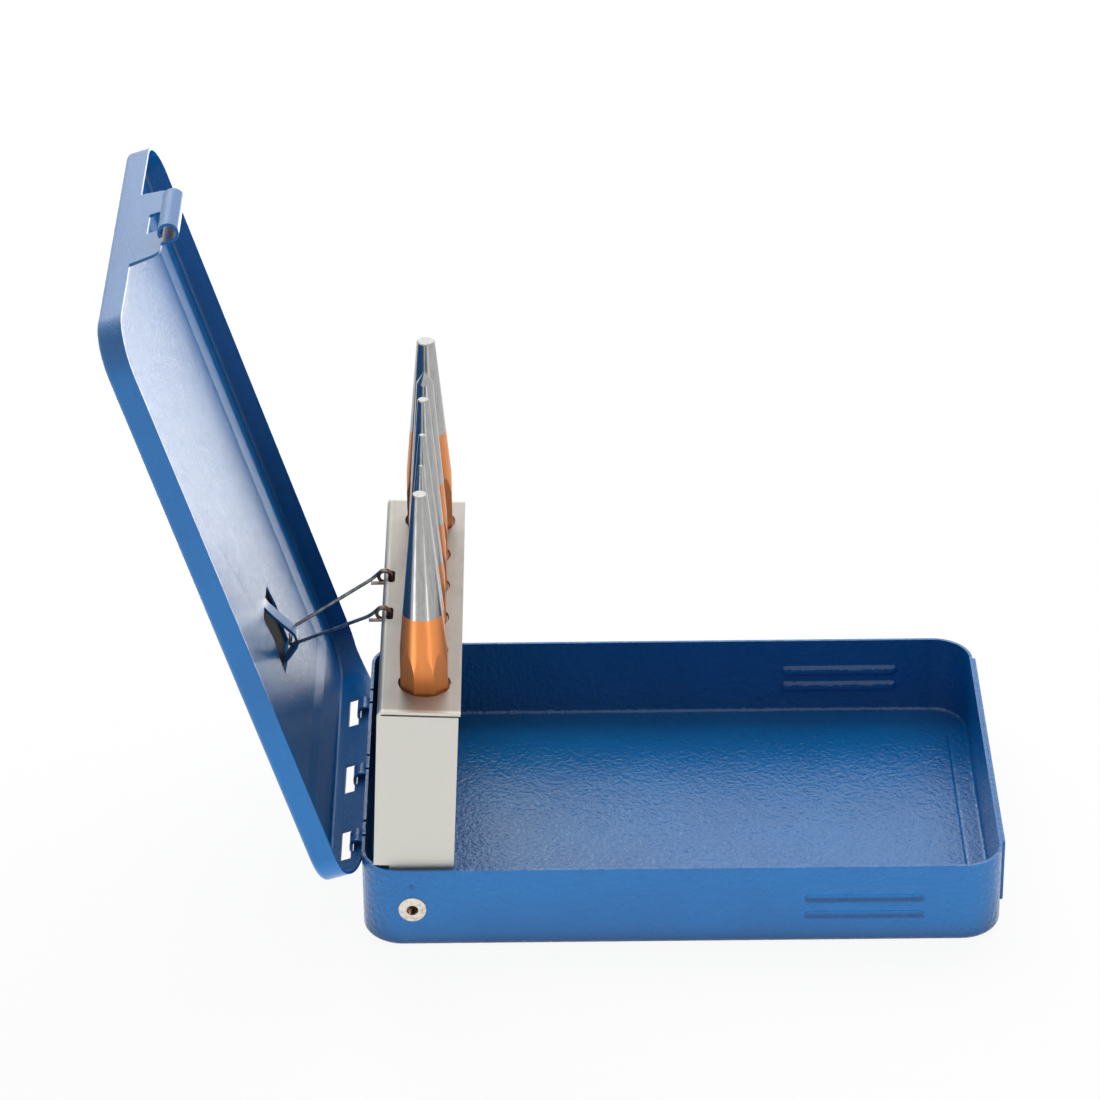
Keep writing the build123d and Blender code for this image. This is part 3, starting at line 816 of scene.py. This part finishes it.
# the profile is the turned section of one tubular rivet, as radius and X
rivetLook = {
    "pivot": Vector((0, 70.1, 11.5)), "columns": 48, "washerEdges": 0.08,
    "profile": ((1.35, 53.95), (1.35, 56.55), (1.57, 56.88), (1.9, 57.0), (2.9, 56.92), (3.4, 56.72),
                (3.6, 56.44), (3.55, 56.3), (2.2, 56.3), (2.2, 54.55), (3.1, 54.55), (3.0, 54.15), (1.85, 53.93)),
}


def makeRivets():
    look = rivetLook
    whole = bmesh.new()
    for side in (-1, 1):
        bm = bmesh.new()
        verts = [bm.verts.new((x * mm, 0, r * mm)) for r, x in look["profile"]]
        edges = [bm.edges.new(pair) for pair in zip(verts, verts[1:] + verts[:1])]
        bmesh.ops.spin(bm, geom=verts + edges, cent=(0, 0, 0), axis=(1, 0, 0), angle=math.tau,
                       steps=look["columns"], use_merge=True)
        bmesh.ops.remove_doubles(bm, verts=bm.verts, dist=1e-6)
        if side < 0:
            bmesh.ops.scale(bm, verts=bm.verts, vec=(-1, 1, 1))
        bmesh.ops.translate(bm, verts=bm.verts, vec=look["pivot"] * mm)
        bmesh.ops.recalc_face_normals(bm, faces=bm.faces)
        joinInto(whole, bm)
    makePiece("pivotRivets", whole, nickel, "base", ["pivot_rivets"], sharpAngle=50)
    makePiece("pivotWashers", copyOfNode("pivot_washers"), nickel, "base", ["pivot_washers"],
              bevel=look["washerEdges"])


makeRivets()


# bridge and eye are given as Y and Z; start is the angle on the eye where the wire joins it
linkLook = {
    "bridge": (102.454, 57.434), "eye": (77.3906, 70.2912), "middleX": 4.3, "bridgeHalf": 4.4, "eyeOffset": 9.5,
    "radius": 1.7, "wire": 0.475, "start": 135, "lead": 3.0, "tail": 3.8, "turns": 1, "pitch": 1.02,
    "bridgeBend": 1.3, "leadBend": 1.6,
}


def roundCorner(corner, before, after, reach, shares):
    return [corner - before * reach * (1 - t) ** 2 + after * reach * t ** 2 for t in shares]


def wireSide(side):
    # one side of the wire, from the middle of the bridge to the tail of its eye
    look = linkLook
    eyeY, eyeZ = look["eye"]
    bridgeY, bridgeZ = look["bridge"]
    bend, leadBend = look["bridgeBend"], look["leadBend"]
    start = math.radians(look["start"])
    x = look["middleX"] + side * look["eyeOffset"]

    def onRing(angle):
        return eyeY - look["radius"] * math.cos(angle), eyeZ + look["radius"] * math.sin(angle)

    outwards = Vector((side, 0, 0))
    corner = Vector((look["middleX"] + side * look["bridgeHalf"], bridgeY, bridgeZ))
    ringStart = Vector((x, *onRing(start)))
    lead = ringStart + Vector((0, math.sin(start), math.cos(start))) * look["lead"]
    along = (lead - corner).normalized()
    toRing = (ringStart - lead).normalized()
    points = [Vector((look["middleX"], bridgeY, bridgeZ)), corner - outwards * bend]
    points += roundCorner(corner, outwards, along, bend, (0.25, 0.5, 0.75))
    points += [corner + along * bend, lead - along * leadBend]
    points += roundCorner(lead, along, toRing, leadBend, (0.3, 0.5, 0.7))
    points.append(lead + toRing * leadBend)
    total = math.radians(look["start"] + 90 + 360 * look["turns"])
    steps = 20 + 24 * look["turns"]
    for t in [step / steps for step in range(steps + 1)]:
        points.append(Vector((x - look["pitch"] * look["turns"] * t, *onRing(start - total * t))))
    end = points[-1]
    return points + [end + Vector((0, look["tail"] * share, 0)) for share in (0.5, 1)]


def makeWireLink():
    data = bpy.data.curves.new("wireLink", "CURVE")
    data.dimensions = "3D"
    data.bevel_depth = linkLook["wire"] * mm
    data.bevel_resolution = 5
    data.use_fill_caps = True
    for side in (-1, 1):
        points = wireSide(side)
        spline = data.splines.new("POLY")
        spline.points.add(len(points) - 1)
        for slot, point in zip(spline.points, points):
            slot.co = (*(point * mm), 1)
    curve = placeInScene("wireCurve", data)
    graph = bpy.context.evaluated_depsgraph_get()
    mesh = bpy.data.meshes.new_from_object(curve.evaluated_get(graph))
    bpy.data.objects.remove(curve)
    bm = bmesh.new()
    bm.from_mesh(mesh)
    bpy.data.meshes.remove(mesh)
    bmesh.ops.remove_doubles(bm, verts=bm.verts, dist=1e-7)
    makePiece("wireLinkBent", bm, springSteel, "link", ["wire_link"], sharpAngle=60)


makeWireLink()
print("rivets and wire link made")


# place along X, width over flats, tip, length, height of the shoulder and of the lacquer's edge
punchSizes = {
    "drift_punch_4": (-40.2, 12.0, 3.8, 118.4, 74.7, 91.4),
    "drift_punch_1": (-23.9, 10.0, 1.2, 117.4, 76.0, 85.6),
    "drift_punch_2": (-7.6, 10.0, 1.8, 117.3, 76.0, 87.2),
    "drift_punch_3": (8.7, 10.0, 3.0, 118.8, 76.0, 89.5),
    "centre_punch": (25.0, 10.0, 3.9, 118.4, 76.5, 92.6),
    "drift_punch_5": (43.0, 12.0, 4.8, 117.9, 78.6, 98.3),
}
punchShape = {
    "row": 66.0, "foot": 6.95, "buttChamfer": 2.5, "buttShare": 0.74, "tipChamfer": 0.25,
    "pointAngle": 60, "pointBlunt": 0.06, "columns": 96,
}


def punchEnd(name, tip, taper, length):
    # radius and height of the last three rings
    shape = punchShape
    if name == "centre_punch":
        height = tip / 2 / math.tan(math.radians(shape["pointAngle"] / 2))
        blunt = shape["pointBlunt"]
        return [(tip / 2 + taper * height, length - height), (blunt, length - 2 * blunt), (0, length)]
    chamfer = shape["tipChamfer"]
    return [(tip / 2 + taper * chamfer, length - chamfer), (tip / 2 - chamfer, length), (0, length)]


def turnPunch(name, flat, tip, length, shoulder):
    # eight flats below and a cone above, which meet in an arc on each flat
    shape = punchShape
    corner = flat / 2 / math.cos(math.radians(22.5))
    butt = corner * shape["buttShare"]
    taper = (flat - tip) / 2 / (length - shoulder)
    ends = punchEnd(name, tip, taper, length)
    bm = bmesh.new()
    rings = (0, 1, 1, 1, 1, 1, 0)  # the poles lie on the axis
    verts = [bm.verts.new((r, 0, row)) for row, r in enumerate(rings)]
    edges = [bm.edges.new(pair) for pair in zip(verts, verts[1:])]
    bmesh.ops.spin(bm, geom=verts + edges, cent=(0, 0, 0), axis=(0, 0, 1), angle=math.tau,
                   steps=shape["columns"], use_merge=True)
    bmesh.ops.remove_doubles(bm, verts=bm.verts, dist=1e-5)
    for v in bm.verts:
        angle = math.atan2(v.co.y, v.co.x)
        side = (math.degrees(angle) + 22.5) % 45 - 22.5
        face = flat / 2 / math.cos(math.radians(side))
        places = [(0, 0), (butt, 0), (face, shape["buttChamfer"] * (face - butt) / (corner - butt)),
                  (face, shoulder - (face - flat / 2) / taper), *ends]
        r, z = places[round(v.co.z)]
        v.co = Vector((r * math.cos(angle), r * math.sin(angle), z)) * mm
    bmesh.ops.recalc_face_normals(bm, faces=bm.faces)
    return bm


def makePunches():
    for name, (x, flat, tip, length, shoulder, lacquerTop) in punchSizes.items():
        bm = turnPunch(name, flat, tip, length, shoulder)
        bmesh.ops.translate(bm, verts=bm.verts, vec=Vector((x, punchShape["row"], punchShape["foot"])) * mm)
        finish = makePunchFinish(name + "Finish", lacquerTop)
        makePiece(name + "_ground", bm, finish, name, [name], sharpAngle=4)


makePunches()
print("punches ground and lacquered")


studio = {"skyLevel": 0.19, "seen": 1.0, "floorWhite": 0.92, "floorSize": 6.0, "floorDrop": 0.1, "shadowShare": 0.08}
allPunches = [name + "_ground" for name in punchSizes]

# level is the lamp's brightness beside the white of the table, mirrored whether it shows in
# reflections, shines whether it sheds light, and only the pieces it is kept to
lampLook = {
    "backTop": {"place": (1.0, 0.0, 0.95), "target": (0, 0, 0), "size": (2.2, 1.7), "level": 0.85,
                "mirrored": True},
    "backFill": {"place": (1.0, 0.0, 0.85), "target": (0, 0, 0), "size": (2.2, 1.6), "level": 1.7,
                 "mirrored": False},
    "topSoft": {"place": (-0.05, 0.0, 1.5), "target": (0, 0, 0), "size": (2.2, 1.4), "level": 0.62,
                "mirrored": False},
    "frontTable": {"place": (-0.56, 0.0, 0.0005), "target": (-0.56, 0, 1), "size": (2.0, 1.0), "level": 1.45,
                   "mirrored": False},
    "backTable": {"place": (0.38, -0.12, 0.0005), "target": (0.38, -0.12, 1), "size": (0.9, 0.6), "level": 2.5,
                  "mirrored": True, "only": ["lidShell"]},
    "cardLeft": {"place": (-0.20, 0.235, 0.0006), "target": (-0.20, 0.235, 1), "size": (0.05, 0.16),
                 "turn": -48, "level": 3.4, "mirrored": True, "shines": False, "only": allPunches},
    "cardRight": {"place": (-0.22, -0.045, 0.0006), "target": (-0.22, -0.045, 1), "size": (0.035, 0.16),
                  "turn": 35, "level": 3.0, "mirrored": True, "shines": False, "only": allPunches},
    "backSide": {"place": (1.3, 0.43, 0.72), "target": (0, 0.13, 0.18), "size": (0.5, 0.5), "level": 1.6,
                 "mirrored": True},
}


def makeLamp(name, look):
    data = bpy.data.lights.new(name, "AREA")
    data.shape = "RECTANGLE"
    data.size, data.size_y = look["size"]
    data.energy = look["level"] * math.pi * look["size"][0] * look["size"][1]
    lamp = placeInScene(name, data)
    lamp.location = look["place"]
    aim = Vector(look["target"]) - Vector(look["place"])
    lamp.rotation_euler = aim.to_track_quat("-Z", "Y").to_euler()
    if abs(aim.x) + abs(aim.y) < 1e-6:
        # a lamp that lies on the table keeps its long side along Y, but for its own turn
        lamp.rotation_euler = (math.pi, 0, math.radians(90 + look.get("turn", 0)))
    lamp.visible_camera = False
    lamp.visible_glossy = look["mirrored"]
    lamp.visible_diffuse = look.get("shines", True)
    if "only" in look:
        lit = bpy.data.collections.new(name + "Lights")
        for piece in look["only"]:
            lit.objects.link(bpy.data.objects[piece])
        lamp.light_linking.receiver_collection = lit


def makeFloor():
    # the eye sees a white table that keeps a share of the object's shadow
    kit = newMaterial("paleTable")
    share = kit.maths("MINIMUM", kit.looks(), 1 - studio["shadowShare"])
    paint = kit.node("BsdfDiffuse", {}, {"Color": [studio["floorWhite"]] * 3})
    glow = kit.node("Emission", {}, {"Color": (1, 1, 1), "Strength": studio["seen"]})
    material = kit.end(kit.node("MixShader", {}, {0: share, 1: paint, 2: glow}))
    bm = bmesh.new()
    bmesh.ops.create_grid(bm, x_segments=1, y_segments=1, size=studio["floorSize"])
    bmesh.ops.translate(bm, verts=bm.verts, vec=(0, 0, -studio["floorDrop"] * mm))
    mesh = bpy.data.meshes.new("floorPlane")
    bm.to_mesh(mesh)
    bm.free()
    mesh.materials.append(material)
    placeInScene("floorPlane", mesh)


def makeWorld():
    # the eye and mirrors see a white room, while the light it sheds stays low
    kit = ShaderKit(bpy.data.worlds.new("studioWorld"), "OutputWorld")
    levels = {"Value": kit.looks(), "To Min": studio["skyLevel"], "To Max": studio["seen"]}
    strength = kit.node("MapRange", {}, levels)
    background = kit.node("Background", {}, {"Color": (1, 1, 1), "Strength": strength})
    bpy.context.scene.world = kit.end(background)


makeFloor()
makeWorld()
for name, look in lampLook.items():
    makeLamp(name, look)
bpy.context.scene.view_settings.view_transform = "Standard"
print("studio lit")
